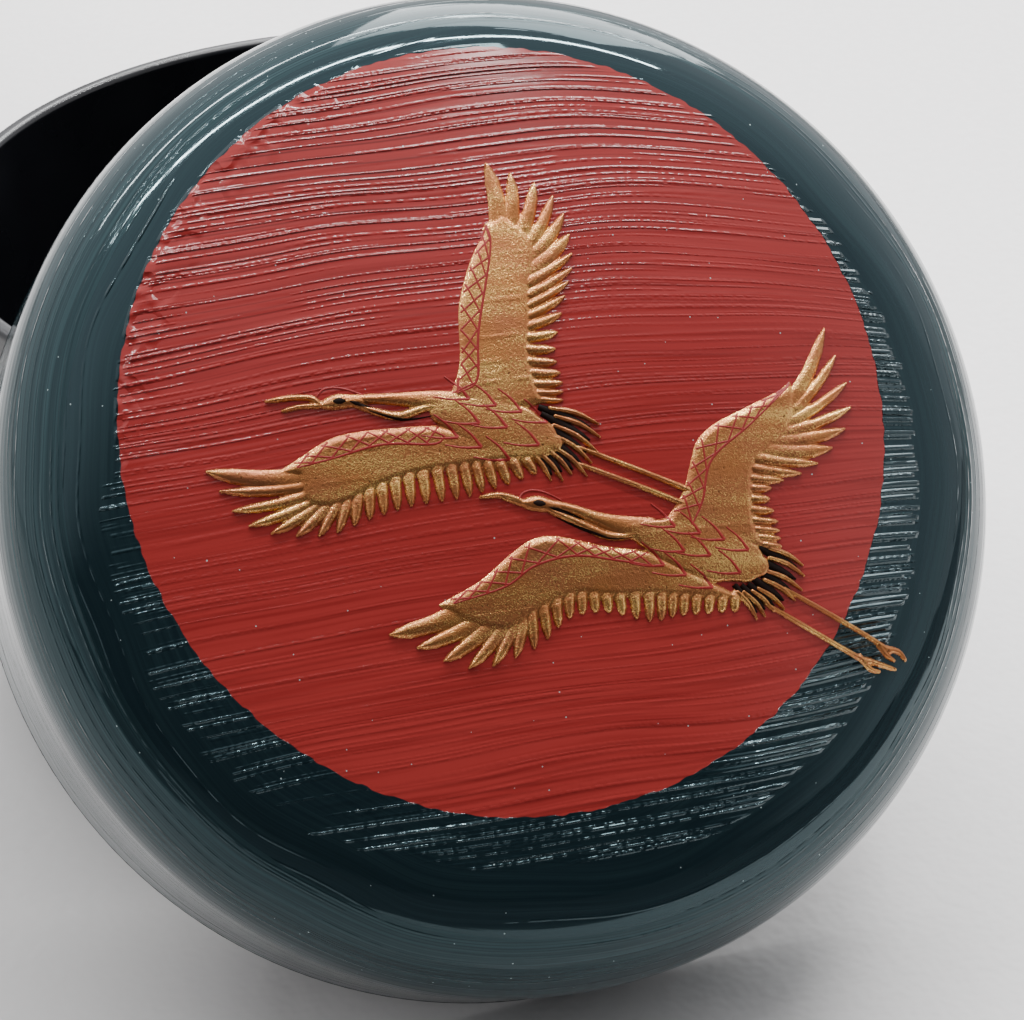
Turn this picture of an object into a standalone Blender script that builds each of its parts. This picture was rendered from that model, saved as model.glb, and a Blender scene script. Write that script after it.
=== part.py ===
import math

import bmesh
import bpy
from mathutils import Matrix, Vector
from mathutils.geometry import delaunay_2d_cdt

# Everything is in metres, +Z up, the lid leans at the front, toward -Y.

# Outer form shared by the lid and the body
OUTER_RADIUS = 0.041
TURN_SEGMENTS = 72

# Lid
LID_HEIGHT = 0.027
LID_TOP_CURVE = 0.156
LID_SHOULDER_RADIUS = 0.011
LID_SIDE_LEAN = 0.0006
LID_WALL = 0.0027
LID_INNER_SHOULDER = 0.0085
LID_EDGE_BEVEL = 0.0003
LID_CAP_RADIUS = 0.004
LID_TOP_RINGS = 3

# Body
SEAT_HEIGHT = 0.0352
COLLAR_HEIGHT = 0.011
COLLAR_WALL = 0.0016
COLLAR_FIT_GAP = 0.0003
COLLAR_EDGE_ROUND = 0.0006
SEAT_EDGE_BEVEL = 0.0003
BASE_RADIUS = 0.024
BODY_CURVE_HEIGHT = 0.020
FLOOR_THICKNESS = 0.0035

# How the lid leans on the open body
LEAN_ANGLE = math.radians(40.0)
LEAN_GAP = 0.0001

# The pair of cranes raised on the lid's top, set out in the picture's own upright frame
PICTURE_TURN = math.radians(-12.0)
RELIEF_HEIGHT = 0.0003
RELIEF_ROOT = 0.0005
CRANE_SIZE = 0.001

# Named sizes of one crane, in millimetres of its own drawing, head toward -X
BEAK_WIDTH = 0.45
HEAD_WIDTH = 1.2
NAPE_WIDTH = 0.8
THROAT_WIDTH = 0.6
BODY_LENGTH = 10.4
BODY_WIDTH = 4.4
TAIL_FEATHERS = 7
TAIL_LENGTH = 3.8
TAIL_FEATHER_WIDTH = 0.7
TAIL_SPREAD = math.radians(80.0)
LEG_LENGTH = 9.8
LEG_WIDTH = 0.45
TOE_LENGTH = 1.5
FEATHER_FILL = 0.82
FEATHER_WIDEST = 1.35
FEATHER_BELLY = 0.6

# Head and neck, drawn once: knots of each bar, set at the slope of the crane's neck
BEAK = ((-13.8, 0.1), (-12.3, 0.35), (-10.6, 0.4), (-9.6, -0.1))
JAW = ((-12.6, -0.6), (-11.2, -0.3), (-9.5, -0.2))
HEAD = ((-9.8, -0.2), (-8.5, 0.15), (-6.9, 0.2))
NAPE = ((-7.7, 0.35), (-4.0, 0.42), (1.2, -0.1))
THROAT = ((-7.5, -0.1), (-5.6, -0.65), (-4.1, -0.9), (-2.9, -0.6), (0.2, -0.6))

# Where each crane flies: shoulder point, slopes, and both wings with their leading edge,
# feather tips and the notches between feathers
CRANES = (
    {
        "at": (-7.2, 3.9),
        "neck": math.radians(0.0),
        "neck_at": (0.0, 0.0),
        "body": math.radians(-15.0),
        "rump": (7.7, -2.3),
        "hips": ((9.6, -2.9), (9.4, -4.1)),
        "legs": math.radians(-18.7),
        "toes": (),
        "wings": (
            {
                "feathers": 18,
                "edge": ((-0.1, 0.6), (0.7, 4.9), (0.9, 8.5), (2.3, 12.6), (3.2, 19.2)),
                "tips": ((3.2, 19.2), (9.2, 15.0), (9.1, 9.4), (8.0, 3.8), (8.5, 0.6)),
                "notches": ((4.2, 15.3), (6.6, 11.7), (6.2, 7.4), (6.1, 3.5), (7.2, 0.3)),
                "seat": (4.0, -1.0),
            },
            {
                "feathers": 22,
                "edge": ((-1.1, -1.6), (-5.9, -2.0), (-9.6, -3.0), (-12.4, -4.9), (-18.1, -5.2)),
                "tips": (
                    (-18.1, -5.2), (-14.2, -9.5), (-8.5, -9.6), (-4.6, -8.1),
                    (-0.8, -7.2), (2.7, -6.4), (6.3, -5.0),
                ),
                "notches": ((-11.5, -5.7), (-9.0, -7.8), (-4.4, -5.8), (1.0, -4.6), (6.0, -3.9)),
                "seat": (4.0, -2.2),
            },
        ),
    },
    {
        "at": (8.4, -5.0),
        "neck": math.radians(-9.0),
        "neck_at": (-0.7, -0.1),
        "body": math.radians(-15.0),
        "rump": (8.5, -3.5),
        "hips": ((10.6, -4.3), (9.0, -5.5)),
        "legs": math.radians(-26.5),
        "toes": (-0.3, 0.25),
        "wings": (
            {
                "feathers": 16,
                "edge": ((0.6, 0.1), (2.9, 4.6), (4.1, 7.4), (9.0, 10.2), (14.7, 16.3)),
                "tips": ((14.7, 16.3), (16.3, 8.8), (11.4, 4.3), (9.9, 1.4), (10.4, -1.1)),
                "notches": ((11.9, 10.7), (10.6, 7.4), (8.1, 4.2), (8.1, 1.2), (9.2, -1.4)),
                "seat": (4.5, -2.0),
            },
            {
                "feathers": 23,
                "edge": ((-0.5, -1.8), (-6.8, -1.0), (-10.3, -1.6), (-14.2, -4.8), (-20.2, -8.3)),
                "tips": (
                    (-20.2, -8.3), (-13.1, -10.6), (-8.1, -8.1), (-4.7, -6.4),
                    (-0.7, -7.0), (2.6, -6.5), (6.5, -6.1),
                ),
                "notches": ((-15.0, -7.2), (-9.7, -6.9), (-4.4, -5.2), (1.4, -5.1), (7.0, -5.1)),
                "seat": (5.0, -3.4),
            },
        ),
    },
)


def clear_scene():
    for old in list(bpy.data.objects):
        bpy.data.objects.remove(old, do_unlink=True)


def lacquer(name, colour, roughness):
    mat = bpy.data.materials.new(name)
    mat.use_nodes = True
    shader = mat.node_tree.nodes["Principled BSDF"]
    shader.inputs["Base Color"].default_value = (*colour, 1.0)
    shader.inputs["Roughness"].default_value = roughness
    shader.inputs["Metallic"].default_value = 0.0
    return mat


def arc(centre_r, centre_z, radius_r, radius_z, start, stop, steps):
    points = []
    for i in range(steps + 1):
        a = start + (stop - start) * i / steps
        points.append((centre_r + radius_r * math.cos(a), centre_z + radius_z * math.sin(a)))
    return points


def add_object(name, bm, material):
    bmesh.ops.recalc_face_normals(bm, faces=bm.faces)
    mesh = bpy.data.meshes.new(name)
    bm.to_mesh(mesh)
    bm.free()
    if material:
        mesh.materials.append(material)
    obj = bpy.data.objects.new(name, mesh)
    bpy.context.scene.collection.objects.link(obj)
    return obj


def turned(name, profile, place, material):
    # profile runs along the section from one flat cap on the axis to the other
    bm = bmesh.new()
    rings = []
    for r, z in profile:
        ring = []
        for k in range(TURN_SEGMENTS):
            a = 2.0 * math.pi * k / TURN_SEGMENTS
            ring.append(bm.verts.new((r * math.cos(a), r * math.sin(a), z)))
        rings.append(ring)
    for low, high in zip(rings, rings[1:]):
        for k in range(TURN_SEGMENTS):
            n = (k + 1) % TURN_SEGMENTS
            bm.faces.new((low[k], low[n], high[n], high[k]))
    bm.faces.new(rings[0])
    bm.faces.new(rings[-1])
    bm.transform(place)
    return add_object(name, bm, material)


def lid_top_height(r):
    return LID_HEIGHT - LID_TOP_CURVE + math.sqrt(LID_TOP_CURVE ** 2 - r ** 2)


def shoulder_centre(side_radius, shoulder, curve):
    centre_r = side_radius - shoulder
    centre_z = LID_HEIGHT - LID_TOP_CURVE + math.sqrt((curve - shoulder) ** 2 - centre_r ** 2)
    return centre_r, centre_z


def lid_profile():
    side = OUTER_RADIUS - LID_SIDE_LEAN
    out_r, out_z = shoulder_centre(side, LID_SHOULDER_RADIUS, LID_TOP_CURVE)
    out_meet = math.atan2(out_z - LID_HEIGHT + LID_TOP_CURVE, out_r)
    bore = OUTER_RADIUS - LID_WALL
    inner_curve = LID_TOP_CURVE - LID_WALL
    in_r, in_z = shoulder_centre(bore, LID_INNER_SHOULDER, inner_curve)
    in_meet = math.atan2(in_z - LID_HEIGHT + LID_TOP_CURVE, in_r)
    drop = lid_top_height(LID_CAP_RADIUS)
    points = [(LID_CAP_RADIUS, drop)]
    for k in range(1, LID_TOP_RINGS):
        r = LID_CAP_RADIUS + (out_r - LID_CAP_RADIUS) * k / LID_TOP_RINGS
        points.append((r, lid_top_height(r)))
    points += arc(out_r, out_z, LID_SHOULDER_RADIUS, LID_SHOULDER_RADIUS, out_meet, 0.0, 7)
    for k in (0.6, 0.3):
        points.append((side + LID_SIDE_LEAN * (1.0 - k) ** 2, out_z * k))
    points.append((OUTER_RADIUS, LID_EDGE_BEVEL))
    points.append((OUTER_RADIUS - LID_EDGE_BEVEL, 0.0))
    points.append((bore + LID_EDGE_BEVEL, 0.0))
    points.append((bore, LID_EDGE_BEVEL))
    points += arc(in_r, in_z, LID_INNER_SHOULDER, LID_INNER_SHOULDER, 0.0, in_meet, 4)
    for k in (2, 0):
        r = LID_CAP_RADIUS + (in_r - LID_CAP_RADIUS) * k / 4
        z = LID_HEIGHT - LID_TOP_CURVE + math.sqrt(inner_curve ** 2 - r ** 2)
        points.append((r, z))
    return points


def body_profile():
    collar = OUTER_RADIUS - LID_WALL - COLLAR_FIT_GAP
    bore = collar - COLLAR_WALL
    mouth = SEAT_HEIGHT + COLLAR_HEIGHT
    rim = min(COLLAR_EDGE_ROUND, 0.45 * COLLAR_WALL)
    turn = math.pi / 2
    points = arc(BASE_RADIUS, BODY_CURVE_HEIGHT, OUTER_RADIUS - BASE_RADIUS, BODY_CURVE_HEIGHT, -turn, 0.0, 7)
    points.append((OUTER_RADIUS, SEAT_HEIGHT - SEAT_EDGE_BEVEL))
    points.append((OUTER_RADIUS - SEAT_EDGE_BEVEL, SEAT_HEIGHT))
    points.append((collar, SEAT_HEIGHT))
    points += arc(collar - rim, mouth - rim, rim, rim, 0.0, turn, 2)
    points += arc(bore + rim, mouth - rim, rim, rim, turn, 2 * turn, 2)
    hollow = BODY_CURVE_HEIGHT - FLOOR_THICKNESS
    points += arc(BASE_RADIUS, BODY_CURVE_HEIGHT, bore - BASE_RADIUS, hollow, 0.0, -turn, 5)
    return points


def lean_matrix(profile):
    # local X stays level, local Y runs up the lid, local Z is its axis, leaning forward
    s = math.sin(LEAN_ANGLE)
    c = math.cos(LEAN_ANGLE)
    lift = max(r * c - z * s for r, z in profile)
    mouth = SEAT_HEIGHT + COLLAR_HEIGHT
    collar = OUTER_RADIUS - LID_WALL - COLLAR_FIT_GAP
    bore = OUTER_RADIUS - LID_WALL
    up = (mouth - lift) / c
    across = math.sqrt(bore ** 2 - up ** 2)
    touch = -math.sqrt(collar ** 2 - across ** 2)
    back = touch - up * s - LEAN_GAP
    return Matrix(((1.0, 0.0, 0.0, 0.0), (0.0, s, -c, back), (0.0, c, s, lift), (0.0, 0.0, 0.0, 1.0)))


def blend(a, b, t):
    return (a[0] + (b[0] - a[0]) * t, a[1] + (b[1] - a[1]) * t)


def smooth_path(knots, t):
    # Catmull-Rom curve through the knots, t from 0 to 1
    last = len(knots) - 1
    i = min(int(t * last), last - 1)
    u = t * last - i
    p1 = knots[i]
    p2 = knots[i + 1]
    p0 = knots[i - 1] if i > 0 else (2 * p1[0] - p2[0], 2 * p1[1] - p2[1])
    p3 = knots[i + 2] if i + 2 <= last else (2 * p2[0] - p1[0], 2 * p2[1] - p1[1])
    out = []
    for a, b, c, d in zip(p0, p1, p2, p3):
        bend = (2 * a - 5 * b + 4 * c - d) * u ** 2 + (3 * b - a - 3 * c + d) * u ** 3
        out.append(0.5 * (2 * b + (c - a) * u + bend))
    return tuple(out)


def wing(knot):
    # leading edge from the root to the first tip, then feather by feather back to the body
    outline = []
    for i in range(9):
        outline.append(smooth_path(knot["edge"], i / 9))
    last = knot["feathers"] - 1
    before = smooth_path(knot["edge"], 0.75)
    for i in range(knot["feathers"]):
        end = smooth_path(knot["tips"], i / last)
        after = smooth_path(knot["notches"], i / last)
        base = blend(before, after, 0.5)
        belly = blend(base, end, FEATHER_BELLY)
        length = math.dist(base, end)
        nx = -(end[1] - base[1]) / length
        ny = (end[0] - base[0]) / length
        near = smooth_path(knot["tips"], max(i - 0.5, 0.0) / last)
        far = smooth_path(knot["tips"], min(i + 0.5, last) / last)
        gap = (after[0] - before[0]) * nx + (after[1] - before[1]) * ny
        spread = (far[0] - near[0]) * nx + (far[1] - near[1]) * ny
        spacing = (1.0 - FEATHER_BELLY) * gap + FEATHER_BELLY * spread
        half = 0.5 * min(FEATHER_FILL * abs(spacing), FEATHER_WIDEST)
        if i == 0:
            half = 0.4 * half
        if spacing < 0.0:
            half = -half
        if i > 0:
            outline.append((belly[0] - nx * half, belly[1] - ny * half))
        outline.append(end)
        outline.append((belly[0] + nx * half, belly[1] + ny * half))
        outline.append(after)
        before = after
    outline.append(knot["seat"])
    return outline


def strip(path, widths):
    # closed outline with the given full widths along a path
    left = []
    right = []
    for i, (p, w) in enumerate(zip(path, widths)):
        a = path[max(i - 1, 0)]
        b = path[min(i + 1, len(path) - 1)]
        length = math.dist(a, b)
        nx = -(b[1] - a[1]) / length
        ny = (b[0] - a[0]) / length
        left.append((p[0] + nx * w / 2, p[1] + ny * w / 2))
        right.append((p[0] - nx * w / 2, p[1] - ny * w / 2))
    return left + right[::-1]


def along(start, angle, distance):
    return (start[0] + distance * math.cos(angle), start[1] + distance * math.sin(angle))


def turned_bar(crane, knots, widths):
    # one bar of the head or neck, turned to the slope of this crane's neck
    c = math.cos(crane["neck"])
    s = math.sin(crane["neck"])
    path = []
    for x, y in knots:
        path.append((x * c - y * s + crane["neck_at"][0], x * s + y * c + crane["neck_at"][1]))
    return strip(path, widths)


def crane_outlines(crane):
    body = crane["body"]
    torso = []
    for k in (0.0, 0.16, 0.36, 0.58, 0.78, 0.94):
        torso.append(along((-0.8, -0.6), body, BODY_LENGTH * k))
    shapes = [strip(torso, [BODY_WIDTH * k for k in (0.5, 0.75, 0.95, 1.0, 0.86, 0.6)])]
    shapes.append(turned_bar(crane, NAPE, [NAPE_WIDTH * k for k in (0.8, 0.9, 2.6)]))
    shapes.append(turned_bar(crane, THROAT, [THROAT_WIDTH * k for k in (0.7, 0.85, 1.0, 1.1, 1.2)]))
    shapes.append(turned_bar(crane, HEAD, [HEAD_WIDTH * k for k in (0.35, 1.0, 0.7)]))
    shapes.append(turned_bar(crane, BEAK, [BEAK_WIDTH * k for k in (0.5, 0.9, 1.0, 1.1)]))
    shapes.append(turned_bar(crane, JAW, [BEAK_WIDTH * k for k in (0.4, 0.8, 1.0)]))
    for knot in crane["wings"]:
        shapes.append(wing(knot))
    for i in range(TAIL_FEATHERS):
        share = i / (TAIL_FEATHERS - 1)
        a = body + TAIL_SPREAD * (0.2 - share)
        side = along(crane["rump"], body - math.pi / 2, BODY_WIDTH * 0.6 * (share - 0.5))
        path = [along(side, a, TAIL_LENGTH * k) for k in (-0.15, 0.6, 1.0)]
        shapes.append(strip(path, [TAIL_FEATHER_WIDTH * k for k in (1.0, 0.8, 0.25)]))
    for hip in crane["hips"]:
        ankle = along(hip, crane["legs"], LEG_LENGTH)
        shapes.append(strip([hip, ankle], [LEG_WIDTH, LEG_WIDTH]))
        for turn in crane["toes"]:
            heel = along(ankle, crane["legs"], -LEG_WIDTH * (1.0 + turn))
            toe = along(ankle, crane["legs"] + turn, TOE_LENGTH)
            shapes.append(strip([heel, toe], [LEG_WIDTH * (1.1 + 0.4 * turn), LEG_WIDTH * 0.6]))
    return shapes


def to_lid(crane, point):
    # picture frame to the lid's own X and Y
    x = (crane["at"][0] + point[0]) * CRANE_SIZE
    y = (crane["at"][1] + point[1]) * CRANE_SIZE
    c = math.cos(PICTURE_TURN)
    s = math.sin(PICTURE_TURN)
    return (x * c - y * s, x * s + y * c)


def relief(name, shapes, place):
    # one closed layer with the joined outline of all shapes, following the curve of the lid's top
    points = []
    loops = []
    for shape in shapes:
        first = len(points)
        points += [Vector(point) / CRANE_SIZE for point in shape]
        loop = list(range(first, len(points)))
        area = 0.0
        for k in loop:
            p = points[k]
            q = points[first + (k + 1 - first) % len(loop)]
            area += p.x * q.y - q.x * p.y
        loops.append(loop if area > 0 else loop[::-1])
    flat, _, triangles, _, _, sources = delaunay_2d_cdt(points, [], loops, 1, 0.0001)
    inside = [tri for tri, source in zip(triangles, sources) if source]
    bm = bmesh.new()
    top = []
    bottom = []
    for point in flat:
        x = point.x * CRANE_SIZE
        y = point.y * CRANE_SIZE
        z = lid_top_height(math.hypot(x, y))
        top.append(bm.verts.new((x, y, z + RELIEF_HEIGHT)))
        bottom.append(bm.verts.new((x, y, z - RELIEF_ROOT)))
    edges = {}
    for tri in inside:
        bm.faces.new([top[k] for k in tri])
        bm.faces.new([bottom[k] for k in tri[::-1]])
        for k in range(3):
            edges[(tri[k], tri[(k + 1) % 3])] = True
    for a, b in edges:
        if (b, a) not in edges:
            bm.faces.new((top[b], top[a], bottom[a], bottom[b]))
    loose = [vert for vert in bm.verts if not vert.link_faces]
    bmesh.ops.delete(bm, geom=loose, context="VERTS")
    bm.transform(place)
    return guide(add_object(name, bm, None))


def guide(obj):
    obj.hide_render = True
    obj.display_type = "WIRE"
    return obj


def combine(obj, other, operation):
    mod = obj.modifiers.new(other.name, "BOOLEAN")
    mod.object = other
    mod.operation = operation
    mod.solver = "EXACT"


def shade(obj):
    for poly in obj.data.polygons:
        poly.use_smooth = True
    obj.data.set_sharp_from_angle(angle=math.radians(35.0))


clear_scene()
outside = lacquer("lacquer_lid", (0.010, 0.030, 0.036), 0.12)
inside = lacquer("lacquer_body", (0.010, 0.028, 0.034), 0.14)

lid_section = lid_profile()
lean = lean_matrix(lid_section)
lid = turned("lid", lid_section, lean, outside)
body = turned("body", body_profile(), Matrix.Identity(4), inside)
shade(lid)
shade(body)

figures = []
for crane in CRANES:
    for shape in crane_outlines(crane):
        figures.append([to_lid(crane, point) for point in shape])
combine(lid, relief("cranes", figures, lean), "UNION")
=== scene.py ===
import math

import bpy
import numpy as np
from mathutils import Matrix, Vector


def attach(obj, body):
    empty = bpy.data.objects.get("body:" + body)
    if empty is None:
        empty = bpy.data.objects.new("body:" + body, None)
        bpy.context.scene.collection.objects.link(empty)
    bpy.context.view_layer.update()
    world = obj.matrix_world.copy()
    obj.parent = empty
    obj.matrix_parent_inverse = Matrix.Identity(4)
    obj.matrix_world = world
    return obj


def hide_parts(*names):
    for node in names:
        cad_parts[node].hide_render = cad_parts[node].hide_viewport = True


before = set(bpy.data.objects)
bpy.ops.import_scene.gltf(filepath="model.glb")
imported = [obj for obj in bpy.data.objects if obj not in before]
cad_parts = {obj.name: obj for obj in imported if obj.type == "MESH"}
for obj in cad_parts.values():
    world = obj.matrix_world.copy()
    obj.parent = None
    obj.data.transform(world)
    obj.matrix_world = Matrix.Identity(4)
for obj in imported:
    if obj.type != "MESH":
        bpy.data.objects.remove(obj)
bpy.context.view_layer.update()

# Sizes shared with the solids, in millimetres here
MM = 0.001
OUTER_RADIUS = 41.0
LID_HEIGHT = 27.0
LID_TOP_CURVE = 156.0
LID_SHOULDER_RADIUS = 11.0
LID_SIDE_LEAN = 0.6
LID_WALL = 2.7
LID_INNER_SHOULDER = 8.5
LID_EDGE_BEVEL = 0.3
SEAT_HEIGHT = 35.2
COLLAR_HEIGHT = 11.0
COLLAR_WALL = 1.6
COLLAR_FIT_GAP = 0.3
COLLAR_EDGE_ROUND = 0.6
SEAT_EDGE_BEVEL = 0.3
BASE_RADIUS = 24.0
BODY_CURVE_HEIGHT = 20.0
FLOOR_THICKNESS = 3.5
LEAN_ANGLE = math.radians(40.0)
LEAN_GAP = 0.1
PICTURE_TURN = math.radians(-12.0)
RELIEF_HEIGHT = 0.3

# Looks
SKIN_DROP = 0.06
SKIN_ROOM = 0.03
RIDGE_TURN = math.radians(-4.0)
DISC_RADIUS = 31.5
STRAIGHT_END = 30.9
SUN_CENTRE = (-1.9, 3.2)
SUN_RADIUS = 29.9
SUN_REACH = 4.5

RED = (0.335, 0.030, 0.028)
RED_DEEP = (0.315, 0.027, 0.025)
RED_DARK = (0.23, 0.015, 0.014)
# painted shade colour for the dark lines beside the brush threads
RED_PAINTED_SHADE = (0.085, 0.005, 0.005)
# painted light: lighter red for the lower part of the sun
RED_PAINTED_LIGHT = (0.405, 0.040, 0.036)
RED_TINT = (1.0, 0.92, 0.9)
GOLD_MID = (0.50, 0.188, 0.062)
GOLD_BROWN = (0.46, 0.16, 0.07)
GOLD_LIGHT = (1.0, 0.60, 0.18)
GOLD_DARK = (0.20, 0.075, 0.028)
GREEN = (0.010, 0.022, 0.026)
GREEN_DARK = (0.006, 0.014, 0.018)
GREEN_PALE = (0.022, 0.045, 0.050)
GREEN_TINT = (0.62, 0.92, 1.0)
DUST = (0.42, 0.5, 0.5)
INSIDE_BLACK = (0.0055, 0.006, 0.008)
LINE_RED = ((0.25, 0.012, 0.011), (0.31, 0.018, 0.016))
LINE_BLACK = ((0.006, 0.003, 0.002), (0.016, 0.007, 0.005))
FLOOR_PALE = (0.955, 0.935, 0.93)
# darker paper: painted shade toward the front left, and the paper's mottle
FLOOR_SHADE_AND_MOTTLE = (0.53, 0.52, 0.515)
FLOOR_FAR = (0.22, 0.22, 0.22)
FLOOR_FRONT_DARK = (0.08, 0.082, 0.087)
STUDIO_DARK = (0.07, 0.073, 0.078)
STUDIO_PALE = (1.04, 1.035, 1.055)

# Threads of the brush: how many to a millimetre, half width, scales of the beads and of the
# breaks along them, and the share of them that shows
BOLD_RING = (0.7, 0.16, 0.8, 0.05, 0.35)
FINE_RING = (2.3, 0.13, 1.1, 0.06, 0.45)
THIN_STROKE = (2.4, 0.12, 2.8, 0.07, 0.85)
THICK_STROKE = (1.2, 0.17, 2.2, 0.04, 0.95)
POWDER_THREAD = (1.1, 0.28, 0.7, 0.12, 0.6)

# Painted shade lines beside the strokes: how many to a millimetre, half width, and how far from the stroke
THIN_SHADE_LINE = (2.4, 0.1, 0.12)
THICK_SHADE_LINE = (1.2, 0.13, 0.17)

COMB_SCALE = 1.45
BRUSH_DEPTH = 0.00003
POWDER_DEPTH = 0.00006

# Steps and divisions of the meshes
TOP_ROWS = 716
TOP_COLS = 114
SIDE_COLS = 401
SIDE_STEP = 0.121
BODY_COLS = 321
BODY_STEP = 0.25
LID_INSIDE_COLS = 160
BODY_INSIDE_COLS = 200
STROKE_STEP = 0.16
RING_SCALE = 34.0
CENTRE_HOLE = 0.01

rng = np.random.default_rng(11)


def build(name, co, faces, material, matrix=None, attributes=None):
    # coordinates come in the piece's own millimetres; the matrix stands the piece in the scene
    mesh = bpy.data.meshes.new(name)
    place = np.asarray(co, dtype=float) * MM
    world = place
    if matrix is not None:
        turn = np.array(matrix)
        world = place @ turn[:3, :3].T + turn[:3, 3]
    faces = np.asarray(faces, dtype=np.int32)
    sides = faces.shape[1]
    mesh.vertices.add(len(world))
    mesh.vertices.foreach_set("co", world.astype(np.float32).ravel())
    mesh.loops.add(faces.size)
    mesh.loops.foreach_set("vertex_index", faces.ravel())
    mesh.polygons.add(len(faces))
    mesh.polygons.foreach_set("loop_start", np.arange(0, faces.size, sides, dtype=np.int32))
    mesh.polygons.foreach_set("loop_total", np.full(len(faces), sides, dtype=np.int32))
    mesh.update(calc_edges=True)
    for key, value in {**(attributes or {}), "place": place}.items():
        value = np.asarray(value, dtype=np.float32)
        data = mesh.attributes.new(key, "FLOAT_VECTOR", "POINT").data
        data.foreach_set("vector", value.ravel())
    mesh.polygons.foreach_set("use_smooth", np.ones(len(faces), dtype=bool))
    mesh.materials.append(material)
    obj = bpy.data.objects.new(name, mesh)
    bpy.context.scene.collection.objects.link(obj)
    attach(obj, "root")
    return obj


def lattice(rows, cols, wrap=False):
    i = np.arange(rows - 1)[:, None]
    j = np.arange(cols if wrap else cols - 1)[None, :]
    n = (j + 1) % cols
    quad = np.stack([i * cols + j, i * cols + n, (i + 1) * cols + n, (i + 1) * cols + j], axis=2)
    return quad.reshape(-1, 4)


# Lid section: the same dome, shoulder and side as the solid
DOME_Z = LID_HEIGHT - LID_TOP_CURVE
SIDE_RADIUS = OUTER_RADIUS - LID_SIDE_LEAN
SHOULDER_R = SIDE_RADIUS - LID_SHOULDER_RADIUS
SHOULDER_Z = DOME_Z + math.sqrt((LID_TOP_CURVE - LID_SHOULDER_RADIUS) ** 2 - SHOULDER_R ** 2)
SHOULDER_MEET = math.atan2(SHOULDER_Z - LID_HEIGHT + LID_TOP_CURVE, SHOULDER_R)
LID_BORE = OUTER_RADIUS - LID_WALL
INNER_CURVE = LID_TOP_CURVE - LID_WALL
INNER_R = LID_BORE - LID_INNER_SHOULDER
INNER_Z = DOME_Z + math.sqrt((INNER_CURVE - LID_INNER_SHOULDER) ** 2 - INNER_R ** 2)
INNER_MEET = math.atan2(INNER_Z - LID_HEIGHT + LID_TOP_CURVE, INNER_R)


def rotate(x, y, angle):
    c = math.cos(angle)
    s = math.sin(angle)
    return x * c - y * s, x * s + y * c


SUN_X, SUN_Y = rotate(*SUN_CENTRE, PICTURE_TURN)


def top_z(r):
    return DOME_Z + np.sqrt(LID_TOP_CURVE ** 2 - np.square(r))


def arc(cr, cz, a, b, start, stop, steps):
    # part of an ellipse about (cr, cz), with half axes a and b
    t = np.linspace(start, stop, steps + 1)
    return np.stack([cr + a * np.cos(t), cz + b * np.sin(t)], axis=1)


def resample(line, step):
    # even points along a line, and how far along it each one lies
    line = np.asarray(line, dtype=float)
    seg = np.hypot(*np.diff(line, axis=0).T)
    keep = np.concatenate([[True], seg > 1e-6])
    line = line[keep]
    s = np.concatenate([[0.0], np.cumsum(np.hypot(*np.diff(line, axis=0).T))])
    n = max(2, int(round(s[-1] / step)) + 1)
    t = np.linspace(0.0, s[-1], n)
    return np.stack([np.interp(t, s, line[:, 0]), np.interp(t, s, line[:, 1])], axis=1), t


def left_of(line):
    # unit vectors that point to the left of the line
    tangent = np.gradient(line, axis=0)
    tangent /= np.hypot(*tangent.T)[:, None]
    return np.stack([-tangent[:, 1], tangent[:, 0]], axis=1)


def lid_outer_line():
    dome_r = np.linspace(DISC_RADIUS, SHOULDER_R + LID_SHOULDER_RADIUS * math.cos(SHOULDER_MEET), 4)
    dome = np.stack([dome_r, top_z(dome_r)], axis=1)
    round_edge = (SHOULDER_R, SHOULDER_Z, LID_SHOULDER_RADIUS, LID_SHOULDER_RADIUS)
    shoulder = arc(*round_edge, SHOULDER_MEET, 0.0, 60)
    k = np.linspace(1.0, LID_EDGE_BEVEL / SHOULDER_Z, 30)
    side = np.stack([SIDE_RADIUS + LID_SIDE_LEAN * (1.0 - k) ** 2, SHOULDER_Z * k], axis=1)
    return np.concatenate([dome, shoulder, side])


def lid_lean():
    s = math.sin(LEAN_ANGLE)
    c = math.cos(LEAN_ANGLE)
    lift = max(OUTER_RADIUS * c - LID_EDGE_BEVEL * s, (OUTER_RADIUS - LID_EDGE_BEVEL) * c)
    mouth = SEAT_HEIGHT + COLLAR_HEIGHT
    collar = LID_BORE - COLLAR_FIT_GAP
    up = (mouth - lift) / c
    across = math.sqrt(LID_BORE ** 2 - up ** 2)
    touch = -math.sqrt(collar ** 2 - across ** 2)
    back = touch - up * s - LEAN_GAP
    return Matrix(((1, 0, 0, 0), (0, s, -c, back * MM), (0, c, s, lift * MM), (0, 0, 0, 1)))


LEAN = lid_lean()


# Brush ridges
def wave_noise(t, length, seed):
    # smooth one-dimensional noise between -1 and 1
    local = np.random.default_rng(seed)
    total = np.zeros_like(t)
    for k in range(5):
        wave = length * local.uniform(0.45, 2.2)
        total += np.sin(2 * np.pi * t / wave + local.uniform(0, 6.28))
    return total / 3.2


def make_straight_lines():
    lines = []
    b = -31.0
    while b < 31.2:
        lines.append({
            "b": b,
            "sigma": rng.uniform(0.09, 0.13),
            "height": rng.uniform(0.006, 0.026),
            "end": STRAIGHT_END + rng.uniform(-0.9, 0.35),
            "wander": rng.uniform(0.02, 0.08),
            "seed": int(rng.integers(1, 100000)),
        })
        b += rng.choice([rng.uniform(0.4, 0.7), rng.uniform(0.8, 2.2)])
    return lines


def bow(a, b0):
    return -0.0013 * np.square(a) - 0.0045 * (b0 / 30.0) * np.square(np.maximum(a - 4.0, 0.0))


def ridge(d, beside, wide):
    # a ridge with a shallow groove beside it
    return np.exp(-0.5 * d * d) - 0.35 * np.exp(-0.5 * ((d - beside) / wide) ** 2)


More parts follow.
